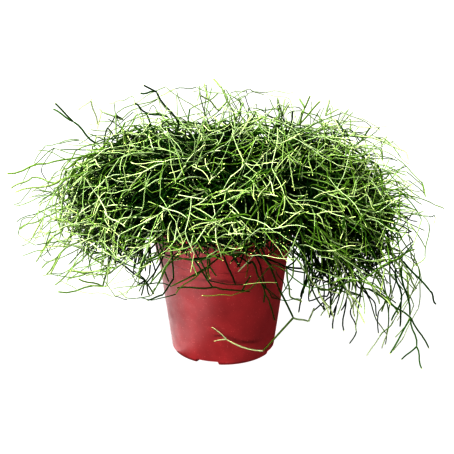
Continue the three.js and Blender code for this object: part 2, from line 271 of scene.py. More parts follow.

# Sprays given one by one, in millimetres, that stand out of the crown, hang over the pot's rim and
# trail on the right. Each has its tone from 0 (deep) to 1 (pale), and its joints: the number of
# the joint that a joint grows from, and its end. Joint 0 is the nearest stem of the crown.
SPRAY_SEED = 2000
SPRAY_SEEDS = 20
SPRAY_SWAY = 0.03
# Each spray's tone is partly its own and partly painted light and shade: pale where the light
# falls on it, deep where the crown shades it.
SPRAYS = [
    (0.5, [(0, -105, 0, 181), (1, -123, 4, 198), (2, -140, 11, 207), (2, -136, -6, 216)]),
    (0.9, [(0, -85, 40, 191), (1, -103, 36, 199), (2, -112, 44, 207), (3, -114, 50, 211),
           (3, -123, 36, 200), (3, -108, 48, 185), (2, -106, 30, 185)]),
    (0.42, [(0, -36, 10, 193), (1, -54, 3, 223), (2, -64, -4, 230), (2, -68, 12, 220)]),
    (0.45, [(0, -56, 0, 190), (1, -64, 8, 205), (2, -72, 2, 214), (2, -45, 14, 199)]),
    (0.72, [(0, -3, 0, 208), (1, 4, 5, 216), (2, -1, 10, 225), (3, -8, 16, 231), (1, -12, -6, 219),
            (5, -19, -10, 223), (5, -15, 4, 230)]),
    (0.7, [(0, 10, 0, 200), (1, 17, 8, 213), (1, 1, -4, 227)]),
    (0.6, [(0, 20, 0, 195), (1, 27, -8, 209), (1, 34, 9, 201)]),
    (0.8, [(0, 48, 0, 203), (1, 45, -5, 219), (1, 51, 4, 217), (1, 55, 12, 211)]),
    (0.66, [(0, 62, 0, 196), (1, 67, 5, 209), (2, 63, 10, 216), (1, 79, -7, 218),
            (2, 71, -2, 221)]),
    (0.8, [(0, 84, 0, 204), (1, 87, 6, 216), (1, 94, -6, 211)]),
    (0.5, [(0, 106, 0, 178), (1, 102, 7, 188), (2, 92, 14, 198)]),
    (0.85, [(0, 103, 0, 188), (1, 123, -8, 187), (2, 147, -18, 179), (3, 150, -26, 174)]),
    (0.62, [(0, -84, 0, 173), (1, -111, 0, 171), (2, -145, -7, 165), (3, -177, -15, 159),
            (2, -134, 10, 155)]),
    (0.72, [(0, -137, 0, 147), (1, -160, 8, 149), (2, -177, 3, 141), (1, -172, -9, 141)]),
    (0.72, [(0, -125, 0, 128), (1, -150, -8, 119), (2, -172, 4, 105), (2, -158, -17, 104)]),
    (0.8, [(0, -98, -40, 98), (1, -122, -46, 108), (2, -149, -38, 117), (2, -140, -54, 109)]),
    (0.75, [(0, -78, -50, 97), (1, -90, -56, 88), (2, -121, -50, 88), (2, -112, -42, 80)]),
    (0.7, [(0, -90, -46, 89), (1, -110, -52, 86), (2, -127, -46, 78), (2, -122, -60, 91)]),
    (0.75, [(0, -132, -20, 112), (1, -141, -26, 107), (2, -156, -18, 83), (2, -150, -34, 97)]),
    (0.7, [(0, -98, -50, 125), (1, -118, -56, 128), (2, -141, -50, 120), (2, -136, -40, 131)]),
    (0.7, [(0, -106, -30, 165), (1, -122, -36, 162), (2, -137, -28, 150), (2, -141, -44, 157)]),
    (0.72, [(0, -110, -30, 112), (1, -132, -37, 98), (2, -150, -28, 81), (2, -140, -46, 83)]),
    (0.72, [(0, -112, 0, 88), (1, -119, -8, 81), (2, -144, -2, 56)]),
    (0.72, [(0, -128, 0, 96), (1, -136, 8, 85), (2, -153, 14, 60)]),
    (0.6, [(0, -94, -20, 86), (1, -100, -28, 65), (2, -137, -34, 63), (2, -122, -14, 67)]),
    (0.45, [(0, -90, -30, 90), (1, -64, -36, 74), (2, -71, -46, 72), (2, -68, -28, 57),
            (2, -60, -45, 64), (2, -56, -48, 66), (2, -74, -22, 77)]),
    (0.45, [(0, -40, -67, 111), (1, -39, -70, 88), (2, -48, -66, 73), (3, -61, -58, 65)]),
    (0.75, [(0, 3, -68, 112), (1, -12, -72, 106), (2, -38, -68, 103), (3, -54, -62, 106)]),
    (0.5, [(0, -23, -67, 104), (1, -8, -70, 81), (2, -37, -64, 78), (2, 2, -72, 80),
           (4, 15, -70, 78), (5, 22, -66, 76), (5, 22, -74, 92)]),
    (0.55, [(0, -11, -66, 108), (1, -10, -70, 98), (2, -24, -72, 91), (2, -5, -66, 89)]),
    (0.4, [(0, 1, -66, 106), (1, 10, -72, 84)]),
    (0.4, [(0, 4, -66, 112), (1, 14, -71, 98), (1, 20, -67, 100)]),
    (0.92, [(0, 28, -68, 113), (1, 21, -75, 106), (2, 12, -70, 94)]),
    (0.5, [(0, 23, -67, 102), (1, 30, -72, 88), (2, 33, -76, 80), (3, 33, -70, 68),
           (3, 37, -78, 71), (5, 42, -72, 53), (2, 39, -66, 71), (7, 44, -61, 67)]),
    (0.85, [(0, 57, -61, 51), (1, 69, -66, 50), (2, 74, -57, 58)]),
    (0.85, [(0, 42, -76, 134), (1, 52, -80, 118), (2, 62, -78, 100), (3, 75, -76, 83),
            (4, 89, -70, 54), (4, 84, -82, 62), (4, 92, -80, 80)]),
    (0.85, [(0, 50, -74, 124), (1, 70, -81, 126), (2, 87, -79, 113), (3, 96, -74, 96),
            (4, 102, -75, 75), (5, 112, -84, 56), (5, 106, -68, 55), (4, 84, -76, 82)]),
    (0.6, [(0, 77, -78, 82), (1, 107, -84, 92), (2, 131, -80, 107), (3, 151, -70, 113),
           (2, 124, -92, 88)]),
    (0.4, [(0, 136, -74, 98), (1, 141, -78, 72), (2, 142, -72, 48), (2, 133, -84, 58)]),
    (0.7, [(0, 50, -68, 98), (1, 52, -71, 84), (2, 54, -68, 72), (3, 63, -71, 69)]),
    (0.8, [(0, 112, -66, 112), (1, 128, -70, 97), (2, 138, -62, 84), (2, 124, -80, 80)]),
    (0.75, [(0, 124, -66, 116), (1, 141, -60, 101), (2, 152, -66, 86), (2, 143, -50, 82)]),
    (0.8, [(0, 100, -76, 104), (1, 117, -84, 88), (2, 124, -78, 70), (2, 131, -90, 74)]),
    (0.7, [(0, 130, -60, 108), (1, 146, -66, 92), (2, 156, -58, 75), (2, 148, -74, 70)]),
    (0.8, [(0, 84, -74, 100), (1, 97, -82, 84), (2, 102, -76, 66), (2, 109, -86, 70)]),
    (0.6, [(0, 120, -70, 92), (1, 130, -76, 76), (2, 127, -70, 60), (2, 139, -80, 62)]),
    (0.5, [(0, 115, -76, 82), (1, 143, -80, 64), (2, 149, -80, 59), (3, 132, -90, 32),
           (3, 167, -68, 27), (3, 154, -84, 36), (6, 144, -74, 20), (6, 158, -92, 20)]),
    (0.45, [(0, 140, -76, 100), (1, 148, -80, 61)]),
    (0.45, [(0, 141, -78, 106), (1, 162, -86, 84), (2, 169, -76, 69)]),
]

# Rings along each fine stem, with the share of its radius at each: narrow where it is jointed to
# its parent, full along its length, and rounded in at its tip. Its map runs from the oldest age to
# the tip's, and from the deepest tone up, with a little play round the stem to give faces a width.
RING_PLACES = np.array([0.0, 0.04, 0.2, 0.4, 0.6, 0.8, 0.95, 1.0])
RING_SHARES = np.array([0.85, 1.05, 1.0, 0.98, 0.96, 0.93, 0.88, 0.5])
STEM_SIDES = 5
FOOT_SINK = 0.2
TIP_ROUND = 0.7
SIDE_PULL = 0.02
OLD_AGES = 0.882
TIP_AGES = (0.995, 0.999)
TONE_LEAST = 0.02
TONE_SPAN = 0.94
TONE_PLAY = 0.02

# The stage: the floor's own light, the backdrop's light from a little below the horizon to above
# it, the camera's place beside the axis, and the view's contrast.
FLOOR_SIZE = 60
FLOOR_GLOW = 0.66
SKY_LOW, SKY_HIGH = -0.1, 0.3
SKY_LEAST = 0.02
SUN_ANGLE = 9 * DEG
CAMERA_ASIDE = 0.0034
SENSOR = 36
VIEW_EXPOSURE = 0.6
VIEW_GAMMA = 0.64


# ---- Settings ----


class PotSettings(bpy.types.PropertyGroup):
    """Finish of the nursery pot."""

    colour: bpy.props.FloatVectorProperty(
        name="Plastic", description="Colour of the pot's plastic", subtype="COLOR",
        default=(0.18, 0.022, 0.024), min=0, max=1)
    roughness: bpy.props.FloatProperty(
        name="Roughness", description="How dull the plastic is", default=0.48, min=0, max=1)
    grain: bpy.props.FloatProperty(
        name="Grain", description="Depth of the moulded grain", unit="LENGTH", default=0.00012)


class PlantSettings(bpy.types.PropertyGroup):
    """Colours of the stems, picked by their tone: deep is painted shade inside the crown, bright
    is painted light on its lit surface.
    """

    # The deep colour is painted shade: it goes on the stems inside the crown, by their tone and
    # not by their age.
    deep: bpy.props.FloatVectorProperty(
        name="Deep stems", description="Colour of the bluest, oldest stems", subtype="COLOR",
        default=(0.001, 0.01, 0.001), min=0, max=1)
    middle: bpy.props.FloatVectorProperty(
        name="Middle stems", description="Colour of most stems", subtype="COLOR",
        default=(0.051, 0.09, 0.013), min=0, max=1)
    # The bright colour is painted light: it goes on the stems on the crown's lit surface and top,
    # by their tone and not by their age.
    bright: bpy.props.FloatVectorProperty(
        name="Bright stems", description="Colour of the youngest stems", subtype="COLOR",
        default=(0.2, 0.24, 0.145), min=0, max=1)
    tip: bpy.props.FloatVectorProperty(
        name="Tips", description="Colour of the growing tips", subtype="COLOR",
        default=(0.46, 0.52, 0.21), min=0, max=1)


class StageSettings(bpy.types.PropertyGroup):
    """Camera and light."""

    distance: bpy.props.FloatProperty(
        name="Camera distance", description="From the camera to the pot's axis, level",
        unit="LENGTH", default=0.958)
    height: bpy.props.FloatProperty(
        name="Camera height", description="Height of the camera", unit="LENGTH", default=0.430)
    pitch: bpy.props.FloatProperty(
        name="Camera pitch", description="How far the camera looks down", subtype="ANGLE",
        default=18.58 * DEG)
    lens: bpy.props.FloatProperty(
        name="Lens", description="Focal length on a 36 mm sensor, in millimetres", default=95.2)
    key: bpy.props.FloatProperty(
        name="Key light", description="Strength of the broad light from the upper left",
        default=13.0, min=0)
    fill: bpy.props.FloatProperty(
        name="Fill light", description="Strength of the light from above", default=0.045, min=0)
    front: bpy.props.FloatProperty(
        name="Front light", description="Power of the low softbox in front, in watts",
        default=10.0, min=0)
    rim: bpy.props.FloatProperty(
        name="Rim light", description="Power of the light on the right, behind the pot, in watts",
        default=14.0, min=0)
    side: bpy.props.FloatProperty(
        name="Side light", description="Power of the low strip light on the left, in watts",
        default=2.6, min=0)
    top: bpy.props.FloatProperty(
        name="Top light", description="Power of the softbox above and behind the plant, in watts",
        default=42.0, min=0)
    card: bpy.props.FloatProperty(
        name="Card", description="Power of the white card on the table in front of the pot",
        default=1.45, min=0)


# ---- Surfaces ----


def mesh_object(name, points, quads, triangles=(), uv=None):
    """A mesh piece from arrays: points (n, 3) in metres, faces as corner numbers, uv per point."""
    corners = np.concatenate([np.ravel(quads), np.ravel(triangles)]).astype(np.int32)
    sizes = np.repeat(np.int32([4, 3]), [len(quads), len(triangles)])
    mesh = bpy.data.meshes.new(name)
    mesh.vertices.add(len(points))
    mesh.vertices.foreach_set("co", np.asarray(points, np.float32).ravel())
    mesh.loops.add(len(corners))
    mesh.loops.foreach_set("vertex_index", corners)
    mesh.polygons.add(len(sizes))
    mesh.polygons.foreach_set("loop_start", np.concatenate([[0], np.cumsum(sizes)[:-1]]))
    mesh.update(calc_edges=True)
    mesh.validate()
    mesh.shade_smooth()
    if uv is not None:
        layer = mesh.uv_layers.new(name="OFBake")
        layer.data.foreach_set("uv", np.asarray(uv, np.float32)[corners].ravel())
    obj = bpy.data.objects.new(name, mesh)
    bpy.context.scene.collection.objects.link(obj)
    return obj


def grid_quads(rows, columns):
    """Faces of a grid of points, rows by columns, closed round in the column direction."""
    row, column = np.meshgrid(np.arange(rows - 1), np.arange(columns), indexing="ij")
    after = (column + 1) % columns
    here, above = row * columns, (row + 1) * columns
    faces = np.stack([here + column, here + after, above + after, above + column], -1)
    return faces.reshape(-1, 4)


def round_angles(sides):
    """The angles of a ring's corners."""
    return np.arange(sides) * 2 * math.pi / sides


def revolve(name, radius, height):
    """A piece turned round the pot's axis: a point of a row lies at radius x cos(angle), radius x
    sin(angle) and its own height. Doubled points are merged, and every face turned outwards."""
    angle = round_angles(height.shape[1])
    points = np.stack([radius * np.cos(angle), radius * np.sin(angle), height], -1)
    piece = mesh_object(name, points.reshape(-1, 3) * MM, grid_quads(*height.shape))
    bpy.context.view_layer.objects.active = piece
    piece.select_set(True)
    bpy.ops.object.mode_set(mode="EDIT")
    bpy.ops.mesh.select_all(action="SELECT")
    bpy.ops.mesh.remove_doubles(threshold=1e-6)
    bpy.ops.mesh.normals_make_consistent(inside=False)
    bpy.ops.object.mode_set(mode="OBJECT")
    piece.select_set(False)
    return piece


def wall_radius(height):
    """Outer radius of the pot's wall: the base radius and the taper, plus the band's step."""
    return POT_BASE_RADIUS + POT_TAPER * height + np.where(height > BAND_BOTTOM, BAND_STEP, 0)


# ---- Growth: the same rule as the solids, then the finer forks ----


def random_from(seed):
    """A repeatable stream of numbers from 0 to 1: each draw adds a step to a 32-bit state and
    mixes its bits by shifts and products."""
    state = seed & WORD

    def draw():
        nonlocal state
        state = (state + STREAM_STEP) & WORD
        mixed = ((state ^ (state >> 15)) * (state | 1)) & WORD
        mixed = ((mixed + (((mixed ^ (mixed >> 7)) * (mixed | 61)) & WORD)) & WORD) ^ mixed
        return ((mixed ^ (mixed >> 14)) & WORD) / (WORD + 1)

    return draw


def child_seed(seed, child):
    """Each stem has a stream of its own."""
    return ((seed & WORD) * SEED_FACTOR + (child + 1) * CHILD_FACTOR) & WORD


def between(limits, share):
    """The value that lies a share of the way from the low limit to the high one."""
    return limits[0] + (limits[1] - limits[0]) * share


def share_past(value, start, span):
    """How far a value is past the zone's start, as a share of its span, from 0 to 1."""
    return np.clip((value - start) / span, 0, 1)


def on_curve(root, control, end, t):
    """A quadratic curve: root (1-t)^2 + control 2t(1-t) + end t^2."""
    return root * (1 - t) ** 2 + control * 2 * t * (1 - t) + end * t**2


def unit(vector):
    """The vector at length 1."""
    return vector / np.linalg.norm(vector)


def units(vectors):
    """Each vector of an array at length 1."""
    return vectors / np.linalg.norm(vectors, axis=-1, keepdims=True)


def turned_from(along, spread, roll):
    """A direction that leaves another by the spread, rolled round it."""
    helper = np.array([1.0, 0, 0]) if abs(along[2]) > UPRIGHT else np.array([0, 0, 1.0])
    across = unit(np.cross(along, helper))
    turn = across * math.cos(roll) + np.cross(along, across) * math.sin(roll)
    return along * math.cos(spread) + turn * math.sin(spread)


def full_radius(kind):
    """The fine stem's radius where nothing thins it: a part of the solid bar's radius."""
    return FINE_RADIUS + FINE_THICKENING * (kind["radius"] - FORKS[-1]["radius"])


class Stem:
    """One joint of the plant: a quadratic curve with its rings, and the finer curve seen.

    The finer curve keeps the end. It starts on its parent's finer curve, nearer to the parent's
    direction, bows up or down and leans aside by a share of its length, and sways once to each
    side: sway x sin(2 pi t)."""

    def __init__(self, clump, root, control, end, kind, seed, generation, droop,
                 parent=None, place=1):
        self.clump, self.seed, self.generation, self.droop = clump, seed, generation, droop
        self.root, self.control, self.end = root, control, end
        self.radius, self.steps = kind["radius"], kind["steps"]
        self.rings = on_curve(root, control, end, np.arange(self.steps + 1)[:, None] / self.steps)
        self.is_carried_on = False
        draw = random_from(seed ^ FINE_STREAM)
        fill = fine_fill(end)
        # The tone: random play, plus painted light and shade for the place where the stem ends.
        self.shade = SHADE_PLAY * draw() + PAINTED_LIGHT_SHARE * exposure(end)
        self.fine_radius = full_radius(kind) * (1 - WISP_THINNING * share_past(fill, *THIN_ZONE))
        length = np.linalg.norm(end - root)
        across = unit(np.cross(end - root, OFF_AXIS))
        bow, lean = between(FINE_BOW, draw()), FINE_SIDE * (draw() - 0.5)
        sway = SWAY * (draw() - 0.5)
        self.fine_root = root if parent is None else parent.fine_at(place)
        self.fine_control = control + across * lean * length
        if parent is not None:
            bow -= TOP_SAG * share_past(min(root[2], end[2]), *TOP_ZONE)
            follow = CARRIED_FOLLOW if place == 1 and not parent.is_carried_on else FOLLOW
            straight = WISP_STRAIGHTENING * share_past(fill, *STRAIGHT_ZONE)
            chord = unit(end - self.fine_root)
            start = unit(chord + follow * (parent.fine_along(place) - chord))
            self.fine_control = self.fine_root + (start * 0.5 + across * lean) * length
            self.fine_control[2] += bow * length
            self.fine_control += straight * ((self.fine_root + end) / 2 - self.fine_control)
        self.sway = np.cross(across, unit(end - root)) * sway * length

    def fine_at(self, t):
        """The finer curve's point at t."""
        curve = on_curve(self.fine_root, self.fine_control, self.end, t)
        return curve + self.sway * math.sin(2 * math.pi * t)

    def fine_along(self, t):
        """The finer curve's direction at t: half its slope, at length 1."""
        step = (self.fine_control - self.fine_root) * (1 - t) + (self.end - self.fine_control) * t
        return unit(step + self.sway * math.pi * math.cos(2 * math.pi * t))

    def along(self, t):
        """The direction at t, from two points close on either side."""
        low, high = max(t - NEARBY, 0), min(t + NEARBY, 1)
        step = on_curve(self.root, self.control, self.end, high)
        return unit(step - on_curve(self.root, self.control, self.end, low))

    def samples(self):
        """Points along the rings, no further apart than the sample step."""
        found = []
        for start, stop in zip(self.rings[:-1], self.rings[1:]):
            count = math.ceil(np.linalg.norm(stop - start) / SAMPLE_STEP)
            share = np.arange(1, count + 1)[:, None] / count
            found.append(start + (stop - start) * share)
        return np.concatenate(found)


def hang(azimuth):
    """How far the crown hangs below its middle: less in front, and more in the trailing spray, by
    powers of the azimuth's sine and cosine."""
    front = max(0, -math.sin(azimuth)) ** 2
    trail = max(0, math.cos(azimuth - TRAIL_AZIMUTH)) ** TRAIL_NARROWNESS
    return SKIRT_DEPTH * (1 - FRONT_LIFT * front) + TRAIL_DEPTH * trail


def crown_fill(point):
    """Below 1 inside the crown: an ellipsoid above its middle and a squarer form below."""
    x, y, z = point
    rise = z - CROWN_MIDDLE
    half = CROWN_TOP - CROWN_MIDDLE if rise > 0 else hang(math.atan2(y, x))
    out = (x / SPREAD_X) ** 2 + (y / SPREAD_Y) ** 2
    return (out if rise > 0 else out**2) + (rise / half) ** 2


def fine_fill(point):
    """Below 1 inside the infill's own form: the ellipse's sum of squares, to a higher power."""
    x, y, z = point
    rise = z - CROWN_MIDDLE
    half = FILL_RISE if rise > 0 else hang(math.atan2(y, x))
    low = np.clip((CROWN_MIDDLE - z) / RIGHT_WIDER_DEPTH + 0.5, 0, 1)
    wide = FILL_X + RIGHT_WIDER * low * (x > 0)
    out = ((x - FILL_SHIFT) / wide) ** 2 + (y / FILL_Y) ** 2
    return out**FILL_SQUARE + abs(rise / half) ** (2 * FILL_SQUARE)


def exposure(point):
    """Painted light and shade in a stem's tone: painted shade inside, painted light at the front
    of the crown's surface, painted shade at the back and, low on the right, away from the light,
    and over the pot's rim, and the most painted light on top."""
    x, y, z = point
    fill = fine_fill(point)
    centre = np.clip(CENTRE_LEVEL - abs(x - CENTRE_X) / CENTRE_WIDTH, 0, 1)
    centre *= share_past(-y, 0, CENTRE_DEPTH)
    start, span = SURFACE_ZONE
    surface = np.clip((fill - start - CENTRE_INSET * centre) / span, 0, 1)
    wisp = share_past(fill, *WISP_ZONE)
    front = np.clip(0.5 - y / SPREAD_Y, 0, 1)
    lee = share_past(x, *LEE_RIGHT_ZONE) * share_past(z, *LEE_LOW_ZONE) * (1 - wisp)
    rim = share_past(z, *RIM_LOW_ZONE) * share_past(abs(x), *RIM_SIDE_ZONE)
    light = PAINTED_BASE_LIGHT + PAINTED_FRONT_LIGHT * front - (LEE_SHADE + LEE_BACK_SHADE * (1 - front)) * lee
    light -= RIGHT_SHADE * share_past(x, *RIGHT_ZONE) * (1 - wisp)
    light *= surface * (1 - RIM_SHADE * rim) * (1 - WISP_SHADE * wisp)
    return light + PAINTED_TOP_LIGHT * share_past(z, *PAINTED_TOP_ZONE)


def hits_pot(points):
    """True if a point is in the pot's wall, or too near it, or in the soil."""
    radius, z = np.hypot(points[:, 0], points[:, 1]), points[:, 2]
    outer = wall_radius(z)
    near = (z <= POT_HEIGHT + POT_ROOM) & (radius <= outer + LIP_STAND + POT_ROOM)
    inside = (radius < outer - POT_WALL - POT_ROOM) & (z > SOIL_TOP + POT_ROOM)
    return bool(np.any(near & ~inside))


class Plant:
    """All stems so far, with the samples that later stems keep their room from."""

    def __init__(self):
        self.stems = []
        self.points = np.zeros((0, 3))
        self.owners = np.zeros(0, int)

    def fits(self, stem, free):
        """The stem's samples if it keeps its room, but for its own clump's near its root."""
        samples = stem.samples()
        from_root = np.linalg.norm(samples - stem.root, axis=1)
        tested = samples[from_root > CROWN_RADIUS]
        if hits_pot(tested) or np.any(tested[:, 2] < LOWEST_STEM):
            return None
        low, high = samples.min(0) - STEM_ROOM, samples.max(0) + STEM_ROOM
        close = np.all((self.points >= low) & (self.points <= high), axis=1)
        others, owners = self.points[close], self.owners[close]
        apart = np.linalg.norm(samples[:, None] - others[None], axis=2)
        excused = (from_root < free)[:, None] & (owners == stem.clump)[None]
        return None if np.any((apart <= STEM_ROOM) & ~excused) else samples

    def add(self, stem, free, carried=None):
        """Keeps the stem if it fits, and marks the one that it carries on."""
        samples = self.fits(stem, free)
        if samples is None:
            return False
        self.stems.append(stem)
        self.points = np.concatenate([self.points, samples])
        self.owners = np.concatenate([self.owners, np.full(len(samples), stem.clump)])
        if carried:
            carried.is_carried_on = True
        return True

    def add_fine(self, stem):
        """Keeps a stem of the infill if its fine curve is off the pot and the soil."""
        points = np.array([stem.fine_at(t) for t in CLEAR_PLACES])
        if hits_pot(points) or points[:, 2].min() <= LOWEST_STEM:
            return False
        self.stems.append(stem)
        return True


def place_crowns():
    """The clumps' bases on their rings, each with azimuth, sector, droop, reach and lifts."""
    crowns = []
    for count, radius, start, sector, droop, reach, lifts in CLUMP_RINGS:
        for i in range(count):
            azimuth = start * DEG + i * 2 * math.pi / count
            place = (radius * math.cos(azimuth), radius * math.sin(azimuth))
            base = np.array([*place, SOIL_TOP + ROOT_HEIGHT])
            crowns.append((base, azimuth, sector * DEG, droop, reach, lifts))
    return crowns


def grow_hanger(plant, crown):
    """The stem that hangs in front of the pot, joint after joint, and the twigs at its tip."""
    root, droop, parent = crown[0], crown[3], None
    for i, (right, forward, up, bow) in enumerate(HANGER_JOINTS + HANGER_TWIGS):
        is_twig = i >= len(HANGER_JOINTS)
        kind = HANGER_TWIG if is_twig else HANGER_JOINT
        end = np.array([right * POT_TOP_RADIUS, -forward * POT_TOP_RADIUS, up * POT_HEIGHT])
        control = (root + end) / 2 + np.array([0, 0, bow])
        seed = child_seed(SEED, HANGER_SEED + i)
        carried = None if parent is None or parent.is_carried_on else parent
        stem = Stem(HANGER_CLUMP, root, control, end, kind, seed, LAST_GENERATION, droop, parent)
        if not plant.add(stem, SIBLING_FREE if i else LEADER_FREE, carried):
            raise RuntimeError("the hanging stem found no room")
        # The hanger's tones: its own paleness and painted light.
        stem.shade, stem.fine_radius = HANGER_SHADES[i], full_radius(kind)
        stem.fine_control, stem.sway = control, 0 * stem.sway
        if not is_twig:
            parent, root = stem, end


def leader(clump, base, droop, heading, tilt, reach, seed, draw):
    """An arching stem from a clump's base to a point inside the crown's ellipsoid. Its control
    point is a part of the way out, and higher than both ends."""
    level, side = math.cos(tilt) * math.cos(heading), math.cos(tilt) * math.sin(heading)
    rise = math.sin(tilt) * (CROWN_TOP - CROWN_MIDDLE)
    aim = np.array([level * SPREAD_X, side * SPREAD_Y, rise]) * reach
    aim[2] += CROWN_MIDDLE
    root = base + CROWN_OFFSET * np.array([math.cos(heading), math.sin(heading), 0])
    control = root + (aim - root) * LEADER_LEAN
    control[2] = max(root[2], aim[2]) + between(LEADER["rise"], draw())
    return Stem(clump, root, control, aim, LEADER, seed, 0, droop)


def grow_leaders(plant, crowns):
    """A few arching leaders from each clump's base."""
    for clump, (base, azimuth, sector, droop, limits, lifts) in enumerate(crowns):
        for i, lift in enumerate(lifts):
            seed = child_seed(SEED + clump, i)
            draw = random_from(seed)
            for _ in range(TRIES):
                heading = azimuth + sector * (draw() - 0.5)
                tilt = (lift + LIFT_SWING * (draw() - 0.5)) * DEG
                reach = between(limits, draw())
                stem = leader(clump, base, droop, heading, tilt, reach, seed, draw)
                if plant.add(stem, LEADER_FREE):
                    break


def grow_fork(plant, parent, ring, child, kind, generation):
    """One fork inside the crown that keeps its room, turned differently at each try."""
    is_tip = ring == parent.steps
    carried = parent if is_tip and not parent.is_carried_on else None
    seed, place = child_seed(parent.seed, child), ring / parent.steps
    draw, along = random_from(seed), parent.along(place)
    root = parent.rings[ring] - along * (ROOT_SINK if is_tip and not carried else 0)
    for _ in range(TRIES):
        spread, roll = between(kind["spread"], draw()) * DEG, 2 * math.pi * draw()
        length, bow = between(kind["length"], draw()), between(BOW, draw())
        heading = turned_from(along, spread, roll)
        heading[2] -= parent.droop * draw()
        end = root + unit(heading) * length
        if crown_fill(end) > 1:
            continue
        control = (root + end) / 2 + np.array([0, 0, bow * length])
        stem = Stem(parent.clump, root, control, end, kind, seed, generation, parent.droop,
                    parent, place)
        if plant.add(stem, SIBLING_FREE, carried):
            return


def grow_forks(plant):
    """Forks at each tip and at the middle of each longer stem, generation by generation."""
    for i, kind in enumerate(FORKS):
        for parent in [stem for stem in plant.stems if stem.generation == i]:
            for child in range(kind["tip"]):
                grow_fork(plant, parent, parent.steps, child, kind, i + 1)
            sides = kind["side"] if parent.steps > 1 else 0
            for child in range(kind["tip"], kind["tip"] + sides):
                grow_fork(plant, parent, math.ceil(parent.steps / 2), child, kind, i + 1)


def reach_out(plant):
    """The furthest tip on each side grows on by one twig, until it reaches the spread."""
    for axis, sign in [(0, 1), (0, -1), (1, 1), (1, -1)]:
        tips = [stem for stem in plant.stems if not stem.is_carried_on]
        carried = max(tips, key=lambda stem: sign * stem.end[axis])
        missing = (SPREAD_X, SPREAD_Y)[axis] - sign * carried.end[axis]
        if missing < SHORTEST_TWIG:
            continue
        end = carried.end.copy()
        end[axis] += sign * missing
        end[2] -= TWIG_DROP * missing
        kind = {"radius": carried.radius, "steps": 1}
        root = carried.end
        twig = Stem(carried.clump, root, (root + end) / 2, end, kind, carried.seed,
                    LAST_GENERATION, carried.droop, carried)
        plant.add(twig, SIBLING_FREE, carried)


def keep_share(point, generation):
    """How many of the infill's stems stay at a point: all inside, few at the edge and the skirt,
    where the shortest twigs are fewer still."""
    x, y, z = point
    fill = fine_fill(point)
    right, left = (max(0, math.cos(math.atan2(y, x) - azimuth)) ** SIDE_POWER
                   for azimuth in (RIGHT_AZIMUTH, LEFT_AZIMUTH))
    fade = NONE_BEYOND - FULL_WITHIN + RIGHT_THINNING * right
    keep = np.clip((NONE_BEYOND - fill) / fade, EDGE_KEEP + RIGHT_EDGE * right, 1)
    low = np.clip(1 - (SKIRT_TOP - z) / SKIRT_FADE, SKIRT_LEAST + RIGHT_SKIRT * right, 1)
    skirt = (SKIRT_KEEP + RIGHT_SKIRT * right + LEFT_SKIRT * left) * low if z < SKIRT_TOP else 1
    if generation == LAST_GENERATION:
        keep *= 1 - LEFT_THINNING * left
    if generation >= LAST_GENERATION - 1:
        least = SKIRT_TWIG_KEEP + SKIRT_TWIG_RIGHT * right
        skirt *= np.clip(1 - (SKIRT_TWIG_TOP - z) / SKIRT_TWIG_FADE, least, 1)
    if y < 0 and abs(x) < RIM_WIDTH:
        skirt *= max(share_past(z, *RIM_ZONE), RIM_KEEP)
    return keep * skirt * (crown_fill(point) < 1)


def faces_front(point):
    """True in the shell of the crown that faces the front, above the pot."""
    x, y, z = point
    in_front = abs(x - FACE_X) < FACE_WIDTH and y < FACE_Y and z > FACE_Z
    return in_front and fine_fill(point) > FACE_FILL


def grow_infill_leaders(plant, crowns):
    """More arching stems from each clump, shorter than the leaders of the solids."""
    for clump, (base, azimuth, sector, droop, _, _) in enumerate(crowns):
        for i in range(INFILL_LEADERS):
            seed = child_seed(SEED + clump, INFILL_SEED + i)
            draw = random_from(seed)
            heading = azimuth + INFILL_SECTOR * sector * (draw() - 0.5)
            tilt = between(INFILL_LIFTS, draw()) * DEG
            reach = between(INFILL_REACH, draw())
            plant.add_fine(leader(clump, base, droop, heading, tilt, reach, seed, draw))


def grow_whorl(plant, parent, place, first_child, count, kind, generation):
    """A whorl of fine stems round one point of a parent, evenly turned but for a little play."""
    along, start = parent.fine_along(place), parent.fine_at(place)
    lift = TOP_LIFT * share_past(start[2], *TOP_ZONE)
    turned = 2 * math.pi * random_from(child_seed(parent.seed, first_child + WHORL_SEED))()
    for k in range(count):
        seed = child_seed(parent.seed, first_child + k)
        draw = random_from(seed)
        for _ in range(INFILL_TRIES):
            spread = between(kind["spread"], draw()) * DEG
            roll = turned + 2 * math.pi * (k / count + WHORL_PLAY * (draw() - 0.5))
            length = between(kind["length"], draw())
            heading = turned_from(along, spread, roll)
            heading[2] += (lift - parent.droop) * draw()
            end = start + unit(heading) * length
            if draw() > keep_share(end, generation):
                continue
            stem = Stem(parent.clump, start, (start + end) / 2, end, kind, seed, generation,
                        parent.droop, parent, place)
            if plant.add_fine(stem):
                parent.is_carried_on |= place == 1
                break


def grow_sprays(plant):
    """The sprays listed one by one. Their joints after the first are nearly straight."""
    for i, (tone, joints) in enumerate(SPRAYS):
        first = np.array(joints[0][1:], float)
        grown = [min(plant.stems, key=lambda stem: np.linalg.norm(stem.end - first))]
        for k, (source, *end) in enumerate(joints):
            parent, end = grown[source], np.array(end, float)
            seed = child_seed(SEED, SPRAY_SEED + SPRAY_SEEDS * i + k)
            size = FORKS[min(k // 2, len(FORKS) - 1)]
            stem = Stem(parent.clump, parent.end, (parent.end + end) / 2, end, size, seed,
                        min(k + 1, LAST_GENERATION), parent.droop, parent)
            if k:
                stem.fine_control = (parent.end + end) / 2 + SPRAY_SWAY * (stem.fine_control - end)
                # The spray's tone: its own, with painted light and shade.
                stem.shade = tone
                stem.fine_radius = full_radius(size)
            parent.is_carried_on = True
            grown.append(stem)
            plant.stems.append(stem)


